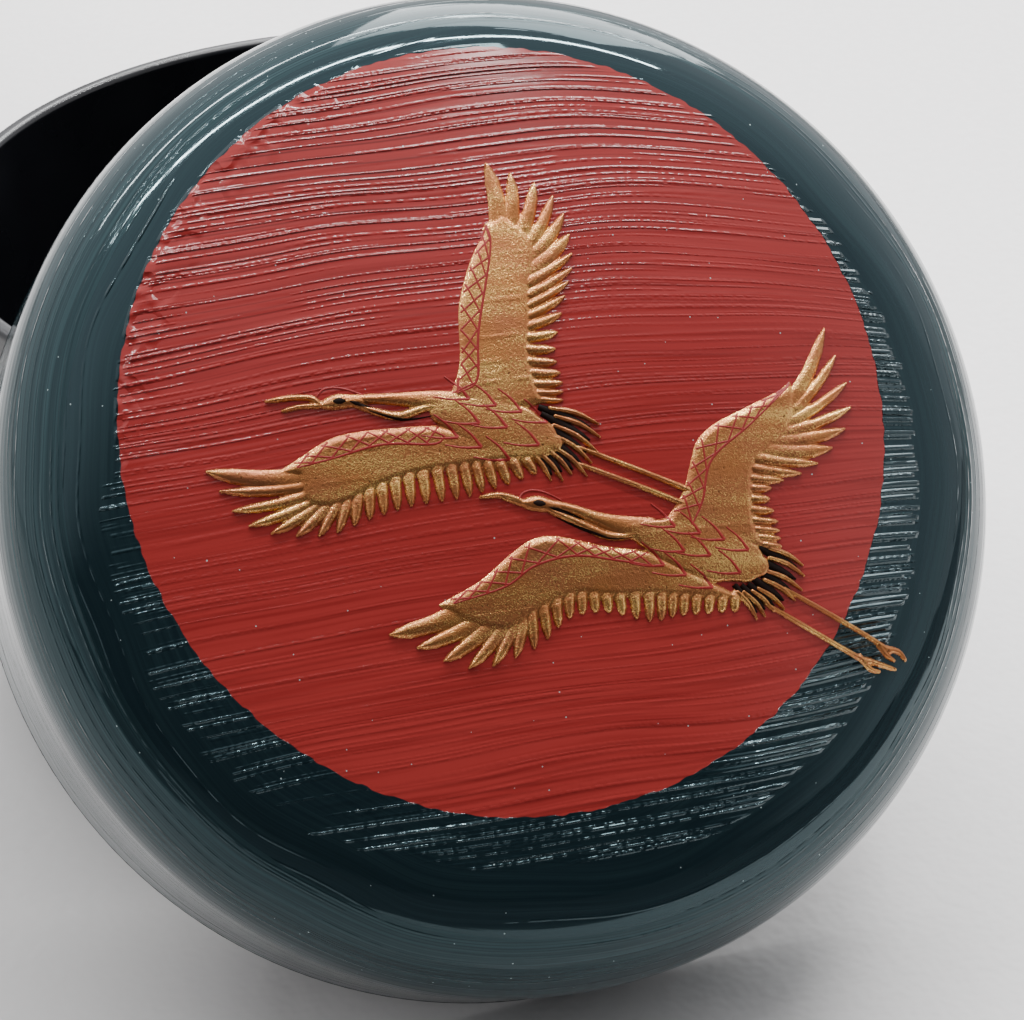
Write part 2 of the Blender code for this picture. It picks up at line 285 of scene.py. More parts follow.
def straight_relief(a, b):
    h = np.zeros_like(a)
    r = np.hypot(a, b)
    for line in make_straight_lines():
        near = np.abs(b - line["b"] - bow(a, line["b"])) < 0.9
        if not near.any():
            continue
        aa = a[near]
        seed = line["seed"]
        centre = line["b"] + bow(aa, line["b"]) + line["wander"] * wave_noise(aa, 14.0, seed)
        d = (b[near] - centre) / line["sigma"]
        fade = 1.0 / (1.0 + np.exp((r[near] - line["end"]) / 0.07))
        beads = 0.7 + 0.3 * wave_noise(aa, 1.6, seed + 1) + 0.35 * wave_noise(aa, 9.0, seed + 2)
        amount = line["height"] * fade * np.clip(beads, 0.0, 1.4)
        h[near] += amount * ridge(d, -2.2, 1.3)
    return h


def brushed(x, y):
    # for the shaders: along and across the straight strokes, and the distance from the centre
    a, b = rotate(x, y, -RIDGE_TURN)
    return np.stack([a, b - bow(a, b), np.hypot(a, b)], axis=-1).reshape(-1, 3)


def make_ring_lines():
    lines = []
    s = -0.9
    while s < 29.0:
        lines.append({
            "s": s,
            "sigma": rng.uniform(0.08, 0.2),
            "height": rng.uniform(0.004, 0.02) if s > 5.0 else rng.uniform(0.003, 0.014),
            "middle": rng.uniform(-math.pi, math.pi),
            "reach": rng.uniform(0.5, 3.4),
            "drift": rng.uniform(-0.3, 0.3),
            "seed": int(rng.integers(1, 100000)),
        })
        s += rng.uniform(0.22, 0.75)
    return lines


RING_LINES = make_ring_lines()


def ring_relief(s, theta):
    # s is the distance along the section from the edge of the disc
    h = np.zeros_like(s)
    calm = 1.0 - 0.85 * np.clip((np.sin(theta) - 0.4) / 0.3, 0.0, 1.0)
    for line in RING_LINES:
        seed = line["seed"]
        away = np.abs((theta - line["middle"] + math.pi) % (2 * math.pi) - math.pi)
        fade = 1.0 / (1.0 + np.exp((away - line["reach"]) / 0.05))
        wander = 0.12 * np.sin(theta * 2 + seed) + line["drift"] * np.cos(theta + seed)
        d = (s - line["s"] - wander) / line["sigma"]
        near = np.abs(d) < 5
        if not near.any():
            continue
        beads = 0.8 + 0.3 * np.sin(theta[near] * 83 + seed) * np.sin(theta[near] * 31 + 2.0 * seed)
        h[near] += line["height"] * calm[near] * fade[near] * beads * ridge(d[near], 2.0, 1.2)
    return h


# Shader helpers
class Value:
    """Output of a shader node. Arithmetic with it adds the nodes that it needs."""

    def __init__(self, tree, socket):
        self.tree = tree
        self.socket = socket

    def __add__(self, other):
        return maths("ADD", self, other)

    def __sub__(self, other):
        return maths("SUBTRACT", self, other)

    def __rsub__(self, other):
        return maths("SUBTRACT", other, self)

    def __mul__(self, other):
        return maths("MULTIPLY", self, other)


def connect(sockets, values):
    # numbers and colours are set on the sockets, outputs of other nodes are linked to them
    for key, value in values.items():
        if isinstance(value, Value):
            value.tree.links.new(value.socket, sockets[key])
        elif isinstance(value, tuple):
            sockets[key].default_value = (*value, 1.0)
        else:
            sockets[key].default_value = value


def add(tree, kind, inputs, **settings):
    node = tree.nodes.new("ShaderNode" + kind)
    for key, value in settings.items():
        setattr(node, key, value)
    connect(node.inputs, inputs)
    return [Value(tree, socket) for socket in node.outputs]


def new_material(name):
    mat = bpy.data.materials.new(name)
    mat.use_nodes = True
    return mat, mat.node_tree, mat.node_tree.nodes["Principled BSDF"].inputs


def maths(operation, *values):
    tree = next(value.tree for value in values if isinstance(value, Value))
    return add(tree, "Math", dict(enumerate(values)), operation=operation)[0]


def span(value, low, high, to_low=0.0, to_high=1.0, smooth=False):
    limits = {"From Min": low, "From Max": high, "To Min": to_low, "To Max": to_high}
    kind = "SMOOTHSTEP" if smooth else "LINEAR"
    return add(value.tree, "MapRange", {"Value": value, **limits}, interpolation_type=kind)[0]


def blend_value(factor, a, b):
    # sockets 2 and 3 of the node are its numbers, 6 and 7 its colours
    return add(factor.tree, "Mix", {0: factor, 2: a, 3: b}, data_type="FLOAT")[0]


def blend_colour(factor, a, b):
    return add(factor.tree, "Mix", {0: factor, 6: a, 7: b}, data_type="RGBA")[2]


def noise(vector, scale, detail, rough=0.5):
    inputs = {"Vector": vector, "Scale": scale, "Detail": detail, "Roughness": rough}
    return add(vector.tree, "TexNoise", inputs)[0]


def flat_noise(vector, scale, detail=0.0):
    inputs = {"Vector": vector, "Scale": scale, "Detail": detail}
    return add(vector.tree, "TexNoise", inputs, noise_dimensions="2D")[0]


def attribute(tree, name):
    # three numbers that the mesh carries at each point
    return add(tree, "Attribute", {}, attribute_name=name)[1]


def split(vector):
    return add(vector.tree, "SeparateXYZ", {0: vector})


def join(x, y):
    return add(x.tree, "CombineXYZ", {0: x, 1: y})[0]


def cells(kind, place, scale):
    # random points on a line (1D, W) or a plane (2D, Vector): distance from the nearest one,
    # and three numbers of its own
    dimensions, entry = kind
    inputs = {"Scale": scale, entry: place}
    near, colour, *_ = add(place.tree, "TexVoronoi", inputs, voronoi_dimensions=dimensions)
    return near, add(place.tree, "SeparateColor", {0: colour})


def bump(height, distance, strength):
    inputs = {"Distance": distance, "Strength": strength, "Height": height}
    return add(height.tree, "Bump", inputs)[0]


LINE = ("1D", "W")
PLANE = ("2D", "Vector")


def specks(place, scale):
    # tiny pale dust grains
    near, own = cells(PLANE, place, scale)
    grain = maths("LESS_THAN", near, span(own[1], 0.0, 1.0, 0.012, 0.026))
    return grain * maths("GREATER_THAN", own[0], 0.8)


def streaks(a, b, a_scale, b_scale, detail=0.0):
    # noise drawn out along the strokes
    return flat_noise(join(a * a_scale, b * b_scale), 1.0, detail)


def threads(a, b, style):
    # raised threads left by the brush, beaded and broken along their length
    scale, width, bead, run, share = style
    near, own = cells(LINE, b, scale)
    profile = span(near, width * scale, width * scale * 0.1, 0.0, 1.0, True)
    tall = maths("SQRT", span(own[0], 1.0 - share, 1.0))
    broken = span(streaks(a, own[1], run, 60.0), 0.36, 0.5)
    beads = span(streaks(a, own[2], bead, 90.0), 0.3, 0.62, 0.25, 1.0)
    return profile * tall * broken * beads, own


def painted_shade_lines(b, style):
    # painted shade: a dark line in the colour along the lower side of each thread, where its shade falls
    scale, width, shift = style
    near, own = cells(LINE, b + shift, scale)
    return span(near, width * scale, width * scale * 0.2, 0.0, 1.0, True) * own[0]


def sun_and_strokes(place, bold_ring, height, colour, rough):
    # the red sun, and the straight strokes that end at its edge or at the edge of the disc
    x, y, _ = split(place)
    a, b0, reach = split(attribute(place.tree, "brush"))
    b = b0 + streaks(a, b0, 0.06, 0.12) * 1.1
    dx = x - SUN_X * MM
    dy = y - SUN_Y * MM
    from_sun = maths("SQRT", dx * dx + dy * dy)

    def round_sun(near, far, to_low=0.0, to_high=1.0):
        # change between two distances from the edge of the sun, in millimetres
        return span(from_sun, (SUN_RADIUS + near) * MM, (SUN_RADIUS + far) * MM, to_low, to_high)

    wobble = span(flat_noise(place, 900.0), 0.3, 0.7, -0.00007, 0.00007)
    inside = span(from_sun + wobble, (SUN_RADIUS - 0.03) * MM, (SUN_RADIUS + 0.03) * MM, 1.0, 0.0)
    # how far past the end of the strokes, which are longer on the left
    past_sun = from_sun * (1.0 / MM) - SUN_RADIUS
    longer = span(a, -12.0, -26.0) * span(b0, 8.0, 2.0) * 2.4
    past_disc = reach - STRAIGHT_END - longer
    past = maths("MINIMUM", past_sun, past_disc)
    rise = []
    for style, amount in ((THIN_STROKE, span(b0, 0.0, 16.0, 0.7, 1.6)), (THICK_STROKE, 1.0)):
        thread, own = threads(a, b, style)
        end = span(own[1], 0.0, 1.0, -0.8, 0.4)
        rise.append(thread * span(past - end, -0.1, 0.1, 1.0, 0.0) * amount)
    straight = rise[0] + rise[1]
    # the strokes end in a comb between the sun and the rim, on the right
    tooth, tooth_own = cells(LINE, b, COMB_SCALE)
    tooth_end = span(tooth_own[1], 0.0, 1.0, -0.5, 0.35)
    tooth_short = span(past_disc - tooth_end, -0.08, 0.12, 1.0, 0.0)
    comb = span(tooth, 0.36, 0.06, 0.0, 1.0, True) * tooth_short * (1.0 - inside)
    comb = comb * span(a, 8.0, 20.0, 0.0, 9.0)
    # the paint heaps up along the upper left edge of the sun
    upper = y * 0.8 - x * 0.6
    heap = span(upper, 0.021, 0.028) * span(x, -0.006, -0.014)
    heap = heap * round_sun(-3.4, -0.6) * round_sun(0.25, 0.05)
    heap = heap * span(flat_noise(place, 520.0, 1.0), 0.42, 0.6, 0.0, 6.0)
    # and the rings make loops outside it
    loops = bold_ring * span(upper, 0.026, 0.03) * span(y, 0.029, 0.025)
    loops = loops * round_sun(0.1, 0.5) * round_sun(2.6, 1.6, 0.0, 4.0)
    past_strokes = span(reach, STRAIGHT_END - 0.6, STRAIGHT_END + 0.8)
    lean = b0 - a * 0.35
    strength = blend_value(inside, 4.4, span(lean, 10.0, 30.0, 0.7, 5.2))
    height = height * past_strokes + straight * strength + heap + loops + comb
    streak = streaks(a, b, 0.05, 1.9, 2.0)
    red = blend_colour(span(flat_noise(place, 60.0), 0.35, 0.65), RED_DEEP, RED)
    # painted light: the red is lighter toward the bottom of the lid, where the dark front of the studio
    # gives less light
    red = blend_colour(span(b0, 4.0, -26.0, 0.0, 1.0, True), red, RED_PAINTED_LIGHT)
    red = blend_colour(span(streak, 0.45, 0.75, 0.0, 0.7), red, RED_DARK)
    # painted shade in the red along the lower side of the threads, stronger toward the top and left
    shade_mask = maths("MAXIMUM", painted_shade_lines(b, THIN_SHADE_LINE) * 0.7, painted_shade_lines(b, THICK_SHADE_LINE))
    shade_mask = shade_mask * span(past, -0.8, 0.0, 1.0, 0.0) * span(lean, 12.0, 30.0, 0.3, 1.0)
    red = blend_colour(shade_mask, red, RED_PAINTED_SHADE)
    colour = blend_colour(inside, colour, red)
    rough = blend_value(inside, rough, span(streak, 0.3, 0.7, 0.11, 0.2))
    return height, colour, rough, blend_colour(inside, GREEN_TINT, RED_TINT)


def green_lacquer(name, dark, light, with_sun, ior=1.5):
    mat, tree, surface = new_material(name)
    place = attribute(tree, "place")
    spin, _, ring_level = split(attribute(tree, "ring"))
    level = ring_level + flat_noise(place, 90.0) * (1.6 if with_sun else 0.7)
    bold_ring, _ = threads(spin, level, BOLD_RING)
    height = bold_ring * 1.2
    streak = streaks(spin, level, 0.035, 2.2, 3.0)
    hair = streaks(spin, level, 0.03, 7.0)
    colour = blend_colour(span(streak, 0.35, 0.68), dark, light)
    colour = blend_colour(span(hair, 0.52, 0.72, 0.0, 0.75), colour, GREEN_DARK)
    rough = span(streak, 0.3, 0.7, 0.03, 0.08)
    if with_sun:
        height = height * span(split(place)[1], 0.014, 0.025, 1.0, 0.1)
        height, colour, rough, tint = sun_and_strokes(place, bold_ring, height, colour, rough)
        dust = specks(place, 420.0)
    else:
        fine_ring, _ = threads(spin, level, FINE_RING)
        height = height + fine_ring * 1.4
        tint = GREEN_TINT
        dust = specks(join(spin, ring_level), 0.42)
    connect(surface, {
        "Base Color": blend_colour(dust, colour, DUST),
        "Roughness": rough,
        "Specular Tint": tint,
        "IOR": ior,
        "Normal": bump(height, BRUSH_DEPTH, 1.0),
    })
    return mat


def black_lacquer(name, colour, rough_low, rough_high):
    mat, tree, surface = new_material(name)
    patch = noise(attribute(tree, "place"), 120.0, 3.0)
    connect(surface, {
        "Base Color": blend_colour(patch, colour, tuple(1.5 * c for c in colour)),
        "Roughness": span(patch, 0.3, 0.7, rough_low, rough_high),
        "IOR": 1.5,
    })
    return mat


def gold_powder(name):
    mat, tree, surface = new_material(name)
    place = attribute(tree, "place")
    a, b, _ = split(attribute(tree, "brush"))
    thread, _ = threads(a, b, POWDER_THREAD)
    fine = noise(place, 11000.0, 1.0, 0.7)
    grit = noise(place, 4600.0, 0.0, 0.6)
    broad = noise(place, 260.0, 1.0)
    sparks = span(fine + streaks(a, b, 0.12, 0.7) * 0.4, 0.74, 0.86)
    colour = blend_colour(span(broad, 0.3, 0.7), GOLD_BROWN, GOLD_MID)
    colour = blend_colour(sparks, colour, GOLD_LIGHT)
    connect(surface, {
        "Base Color": blend_colour(span(grit, 0.26, 0.16), colour, GOLD_DARK),
        "Metallic": 0.85,
        "Roughness": span(sparks, 0.0, 1.0, 0.32, 0.18),
        "Normal": bump(fine * 0.5 + grit * 0.3 + thread * 0.35, POWDER_DEPTH, 0.9),
    })
    return mat


def ink(name, colours, rough, ior):
    mat, tree, surface = new_material(name)
    patch = noise(attribute(tree, "place"), 900.0, 3.0)
    connect(surface, {
        "Base Color": blend_colour(patch, *colours),
        "Roughness": span(patch, 0.3, 0.7, rough, rough + 0.12),
        "IOR": ior,
    })
    return mat


LID_LACQUER = green_lacquer("lid_lacquer", GREEN_DARK, GREEN, True)
LID_SIDE_LACQUER = green_lacquer("lid_side_lacquer", GREEN, GREEN_PALE, False, 1.4)
BODY_LACQUER = green_lacquer("body_lacquer", GREEN, GREEN_PALE, False, 1.4)
INSIDE_LACQUER = black_lacquer("inside_black_lacquer", INSIDE_BLACK, 0.22, 0.36)
GOLD = gold_powder("crane_gold_powder")
RED_INK = ink("crane_red_line", LINE_RED, 0.42, 1.4)
BLACK_INK = ink("crane_black_line", LINE_BLACK, 0.5, 1.2)


def outside_sun(x, y):
    return np.clip((np.hypot(x - SUN_X, y - SUN_Y) - SUN_RADIUS - 0.1) / 0.5, 0.0, 1.0)


def ring_place(theta, s):
    # the angle runs up one side and down the other, so it has no jump
    round_lid = np.abs(theta) * RING_SCALE
    return np.stack([round_lid + 0.0 * s, 0.0 * s, s + 0.0 * theta], axis=-1).reshape(-1, 3)


def points(*axes):
    return np.stack(axes, axis=2).reshape(-1, 3)


def lid_top():
    # the disc of the lid with its straight brush ridges
    edge = DISC_RADIUS - 0.002
    b = np.linspace(-edge, edge, TOP_ROWS)[:, None]
    u = np.linspace(-1.0, 1.0, TOP_COLS)[None, :]
    a = u * np.sqrt(DISC_RADIUS ** 2 - b ** 2)
    b = np.broadcast_to(b, a.shape)
    h = straight_relief(a, b)
    x, y = rotate(a, b, RIDGE_TURN)
    r = np.hypot(a, b)
    theta = np.arctan2(y, x)
    outer = np.clip((r - STRAIGHT_END + 0.5) / 0.5, 0.0, 1.0)
    h = h + ring_relief(r - DISC_RADIUS, theta) * outer * outside_sun(x, y)
    z = top_z(r) - SKIN_DROP + np.minimum(h, SKIN_ROOM)
    values = {"brush": brushed(x, y), "ring": ring_place(theta, r - DISC_RADIUS)}
    faces = lattice(TOP_ROWS, TOP_COLS)
    obj = build("lid_top", points(x, y, z), faces, LID_LACQUER, LEAN, values)
    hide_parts("lid")


def turned_grid(s, cols):
    # distance along the section and angle, for each point of a turned skin
    return np.meshgrid(s, np.linspace(-math.pi, math.pi, cols), indexing="ij")


def raised(line, normal, h):
    # the section moved by h along its normal, the same where the skin closes
    h[:, -1] = h[:, 0]
    r = line[:, 0][:, None] + normal[:, 0][:, None] * h
    return r, line[:, 1][:, None] + normal[:, 1][:, None] * h


def lid_side():
    # the lid's shoulder and side with their circling brush ridges
    line, s = resample(lid_outer_line(), SIDE_STEP)
    ss, tt = turned_grid(s, SIDE_COLS)
    flat = line[:, 0][:, None]
    h = ring_relief(ss, tt) * outside_sun(flat * np.cos(tt), flat * np.sin(tt))
    near_rim = np.clip((s[-1] - ss) / 0.6, 0.0, 1.0)
    h = np.clip(h, -SKIN_ROOM, SKIN_ROOM) * near_rim - SKIN_DROP
    r, z = raised(line, left_of(line), h)
    x = r * np.cos(tt)
    y = r * np.sin(tt)
    co = points(x, y, z)
    faces = lattice(len(s), SIDE_COLS)[:, ::-1]
    upper = int(np.searchsorted(s, SUN_REACH)) * (SIDE_COLS - 1)
    values = {"brush": brushed(x, y), "ring": ring_place(tt, ss)}
    for name, part, material in (
        ("lid_shoulder", faces[:upper], LID_LACQUER),
        ("lid_side", faces[upper:], LID_SIDE_LACQUER),
    ):
        used, again = np.unique(part, return_inverse=True)
        kept = {key: value[used] for key, value in values.items()}
        obj = build(name, co[used], again.reshape(-1, 4), material, LEAN, kept)
        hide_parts("lid")


def turned(name, line, cols, material, matrix, node):
    theta = np.linspace(0.0, 2 * np.pi, cols, endpoint=False)
    r = np.asarray(line)[:, 0][:, None]
    z = np.asarray(line)[:, 1][:, None] + 0 * theta[None, :]
    co = points(r * np.cos(theta), r * np.sin(theta), z)
    obj = build(name, co, lattice(len(line), cols, True), material, matrix)
    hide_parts(node)


def lid_inside():
    drop = OUTER_RADIUS - SKIN_DROP
    line = [
        (drop, LID_EDGE_BEVEL),
        (drop - 0.12, 0.12),
        (drop - LID_EDGE_BEVEL, SKIN_DROP),
        (LID_BORE + LID_EDGE_BEVEL, SKIN_DROP),
        (LID_BORE + 0.09, 0.09),
        (LID_BORE, LID_EDGE_BEVEL),
    ]
    line += [(LID_BORE, z) for z in np.linspace(1.5, INNER_Z - 1.0, 6)]
    round_edge = (INNER_R, INNER_Z, LID_INNER_SHOULDER, LID_INNER_SHOULDER)
    line += [tuple(p) for p in arc(*round_edge, 0.0, INNER_MEET, 20)]
    edge = INNER_R + LID_INNER_SHOULDER * math.cos(INNER_MEET)
    for r in np.linspace(edge, CENTRE_HOLE, 16)[1:]:
        line.append((r, DOME_Z + math.sqrt(INNER_CURVE ** 2 - r ** 2)))
    turned("lid_inside", line, LID_INSIDE_COLS, INSIDE_LACQUER, LEAN, "lid")


def body_outside():
    foot = [(r, 0.0) for r in (CENTRE_HOLE, 6.0, 14.0, BASE_RADIUS - 0.5)]
    bowl = (BASE_RADIUS, BODY_CURVE_HEIGHT, OUTER_RADIUS - BASE_RADIUS, BODY_CURVE_HEIGHT)
    top = [
        (OUTER_RADIUS, SEAT_HEIGHT - SEAT_EDGE_BEVEL - 0.1),
        (OUTER_RADIUS - 0.09, SEAT_HEIGHT - 0.09),
        (OUTER_RADIUS - SEAT_EDGE_BEVEL, SEAT_HEIGHT),
        (LID_BORE - COLLAR_FIT_GAP - 0.1, SEAT_HEIGHT),
    ]
    outline = np.concatenate([foot, arc(*bowl, -math.pi / 2, 0.0, 80), top])
    line, s = resample(outline, BODY_STEP)
    ss, tt = turned_grid(s, BODY_COLS)
    on_side = np.clip((ss - BASE_RADIUS - 2.0) / 2.0, 0.0, 1.0)
    h = np.clip(ring_relief((ss - 26.0) * 0.75, tt) * 1.3, -SKIN_ROOM, SKIN_ROOM)
    r, z = raised(line, -left_of(line), h * on_side - SKIN_DROP * on_side)
    values = {"ring": ring_place(tt, ss + 60.0)}
    co = points(r * np.cos(tt), r * np.sin(tt), np.maximum(z, 0.0))
    faces = lattice(len(s), BODY_COLS)
    obj = build("body_outside", co, faces, BODY_LACQUER, None, values)
    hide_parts("body")


def body_inside():
    collar = LID_BORE - COLLAR_FIT_GAP
    bore = collar - COLLAR_WALL
    curve = COLLAR_EDGE_ROUND
    level = SEAT_HEIGHT + COLLAR_HEIGHT - curve
    quarter = math.pi / 2
    inner = (BASE_RADIUS, BODY_CURVE_HEIGHT, bore - BASE_RADIUS, BODY_CURVE_HEIGHT - FLOOR_THICKNESS)
    line = [(collar, z) for z in np.linspace(SEAT_HEIGHT - 0.05, level - 0.2, 8)]
    line += [tuple(p) for p in arc(collar - curve, level, curve, curve, 0.0, quarter, 8)]
    line += [tuple(p) for p in arc(bore + curve, level, curve, curve, quarter, math.pi, 8)]
    line += [(bore, z) for z in np.linspace(level - 0.2, BODY_CURVE_HEIGHT + 0.5, 10)]
    line += [tuple(p) for p in arc(*inner, 0.0, -quarter, 40)]
    line += [(r, FLOOR_THICKNESS) for r in (18.0, 10.0, 4.0, CENTRE_HOLE)]
    turned("body_inside", line, BODY_INSIDE_COLS, INSIDE_LACQUER, None, "body")


# The pair of cranes, in millimetres of the picture's own frame, each from its own shoulder
WING_RELIEF = 0.78
FEATHER_RELIEF = 0.9
FINGERS = 6
LONG_FEATHER = {
    "least": 0.8, "most": 1.2, "curl": 1.0, "fade": 0.6,
    "foot": (0.5, 0.9, 1.0), "blade": (1.1, 0.95, 0.6, 0.2),
}
SHORT_FEATHER = {
    "least": 0.5, "most": 0.8, "curl": 0.6, "fade": 0.5,
    "foot": (0.2, 0.5, 0.85), "blade": (1.05, 0.95, 0.65, 0.25),
}
HATCH_CELL = 1.45
HATCH_REACH = 1.25
HATCH_WIDTH = 0.2
SCALE_TIPS = (
    (1.1, 0.8), (3.2, 0.9), (5.2, 1.0), (7.3, 0.8), (2.3, -0.8),
    (4.4, -0.5), (7.1, -1.1), (1.0, -2.3), (2.9, -2.5), (5.2, -2.8),
)
# The two sides of a scale: root and bulge, each behind and beside the point, then the widths
SCALE_SIDES = (
    (2.2, 1.2, 1.0, 0.72, 0.16, 0.2),
    (2.7, -0.6, 1.3, -0.42, 0.15, 0.17),
)
QUILL_WIDTHS = (0.36, 0.42, 0.46, 0.46, 0.4, 0.3, 0.14)
HEAD_WIDTHS = (0.4, 0.72, 0.95, 1.12, 1.18, 1.12, 1.0, 0.9, 0.8)
BEAK_WIDTHS = (0.2, 0.38, 0.44, 0.44, 0.44, 0.46, 0.5, 0.5, 0.45)
JAW_WIDTHS = (0.16, 0.32, 0.36, 0.38, 0.4, 0.4, 0.42, 0.42, 0.4)
LEG_WIDTHS = (0.3, 0.36, 0.38, 0.38, 0.4, 0.44, 0.5)
TOE_WIDTHS = (0.5, 0.5, 0.44, 0.4, 0.36, 0.34, 0.26)
STRIPE_WIDTHS = (0.08, 0.24, 0.34, 0.36, 0.34, 0.3, 0.24, 0.16, 0.06)
UNDER_WIDTHS = (0.05, 0.13, 0.19, 0.22, 0.24, 0.24, 0.22, 0.18, 0.14, 0.1, 0.05)
# Height field of a crane: its step, how far it reaches, and its level where nothing is drawn
FIELD_STEP = 0.08
FIELD_REACH = 23.0
UNDER_FIELD = -9.0
BODY_TURN = math.radians(-15.0)

LEFT_RAISED_WING = {
    "edge": ((-0.1, 0.6), (0.7, 3.2), (0.7, 6.6), (0.9, 8.5), (1.7, 11.2), (2.9, 14.2), (3.2, 19.2)),
    "tips": ((3.2, 19.2), (8.3, 16.8), (9.6, 12.2), (8.9, 8.8), (8.0, 4.6), (8.5, 2.0), (8.5, 0.0)),
    "notches": ((4.2, 15.3), (6.6, 13.1), (6.2, 9.6), (6.2, 7.0), (6.0, 4.2), (6.6, 1.6), (7.5, 0.0)),
    "covert": ((0.4, 0.9), (1.9, 2.0), (2.1, 5.8), (3.2, 12.2), (3.0, 14.2)),
    "feathers": 18,
    "curl": -0.07,
    "root": (4.0, -0.5),
}
LEFT_SPREAD_WING = {
    "edge": (
        (-1.1, -1.6), (-3.9, -1.8), (-7.7, -2.3), (-9.6, -3.0), (-11.8, -4.5), (-13.4, -5.2), (-18.1, -5.2),
    ),
    "tips": (
        (-18.1, -5.2), (-15.0, -9.2), (-9.9, -9.9), (-6.2, -8.6), (-3.1, -7.6), (0.3, -7.0), (3.2, -6.2),
        (6.3, -5.0),
    ),
    "notches": (
        (-11.5, -5.5), (-10.8, -7.6), (-8.4, -7.7), (-5.9, -6.4), (-2.9, -5.3), (0.3, -4.7), (3.0, -4.3),
        (6.0, -3.9),
    ),
    "covert": ((-0.6, -2.4), (-1.5, -3.0), (-5.3, -3.1), (-9.0, -4.2), (-11.6, -4.9)),
    "feathers": 22,
    "curl": 0.05,
    "root": (3.0, -2.5),
}
LEFT_CRANE = {
    "name": "left",
    "at": (-7.2, 3.9),
    "scales": (0.0, 0.0),
    "wings": (LEFT_RAISED_WING, LEFT_SPREAD_WING),
    "beak": ((-13.8, 0.1), (-12.3, 0.35), (-10.6, 0.4), (-9.8, -0.15)),
    "jaw": ((-12.6, -0.6), (-11.2, -0.25), (-9.7, -0.2)),
    "head": ((-9.8, -0.2), (-9.2, 0.0), (-8.5, 0.15), (-7.6, 0.2), (-6.9, 0.2)),
    "nape": ((-7.7, 0.35), (-5.8, 0.4), (-3.8, 0.4), (-1.5, 0.35), (0.9, 0.0)),
    "throat": ((-7.4, -0.05), (-5.6, -0.6), (-4.1, -0.9), (-2.9, -0.55), (-1.8, -0.15), (-0.1, -0.1)),
    "stripe": ((-7.7, 0.15), (-6.9, -0.1), (-5.9, -0.3)),
    "under": ((-6.3, -0.55), (-4.8, -0.98), (-3.9, -1.15), (-2.7, -1.05), (-1.4, -0.8)),
    "crown": ((-10.1, 0.5), (-9.6, 1.05), (-8.7, 1.2), (-7.6, 1.0), (-6.6, 0.65)),
    "tail": (
        (11.3, -1.1), (11.4, -2.1), (11.2, -3.3), (10.7, -4.1), (10.3, -5.1), (9.1, -5.0), (8.4, -5.5),
        (7.5, -5.5),
    ),
    "root": (
        (7.5, 0.0), (7.9, -0.6), (7.8, -1.3), (7.6, -2.0), (7.6, -2.9), (7.2, -3.2), (6.5, -3.4),
        (5.9, -3.4),
    ),
    "legs": (((9.6, -2.9), (14.7, -4.6), (18.4, -5.9)), ((9.4, -4.1), (14.6, -5.8), (18.0, -7.0))),
    "toes": (),
}
RIGHT_RAISED_WING = {
    "edge": (
        (0.6, 0.1), (2.3, 2.6), (3.1, 5.2), (3.6, 6.7), (5.0, 8.1), (8.2, 9.8), (11.5, 11.8), (14.7, 16.3),
    ),
    "tips": ((14.7, 16.3), (16.7, 10.1), (13.6, 5.5), (9.6, 3.4), (10.1, 0.8), (10.4, -1.1)),
    "notches": ((11.9, 10.7), (11.2, 8.0), (8.5, 5.5), (8.1, 3.0), (8.2, 0.6), (9.2, -1.2)),
    "covert": ((3.0, 0.3), (3.9, 2.3), (4.7, 5.4), (8.0, 8.3), (11.5, 11.6)),
    "feathers": 16,
    "curl": -0.06,
    "root": (4.5, -1.5),
}
RIGHT_SPREAD_WING = {
    "edge": (
        (-0.5, -1.8), (-4.1, -1.5), (-7.5, -0.9), (-9.4, -1.1), (-11.2, -2.3), (-13.5, -4.3), (-16.6, -6.1),
        (-20.2, -8.3),
    ),
    "tips": (
        (-20.2, -8.3), (-14.3, -10.7), (-9.4, -9.2), (-6.7, -6.9), (-3.6, -6.4), (-0.4, -7.0), (2.3, -6.5),
        (5.4, -6.2), (8.7, -5.9),
    ),
    "notches": (
        (-15.0, -7.2), (-11.7, -8.0), (-9.3, -6.6), (-6.3, -5.2), (-3.4, -5.3), (0.0, -5.1), (2.8, -5.2),
        (6.0, -5.2), (8.9, -4.9),
    ),
    "covert": ((-0.3, -2.9), (-2.8, -2.6), (-6.3, -2.3), (-9.4, -3.1), (-11.7, -4.7), (-15.6, -6.0)),
    "feathers": 23,
    "curl": 0.05,
    "root": (3.5, -3.5),
}
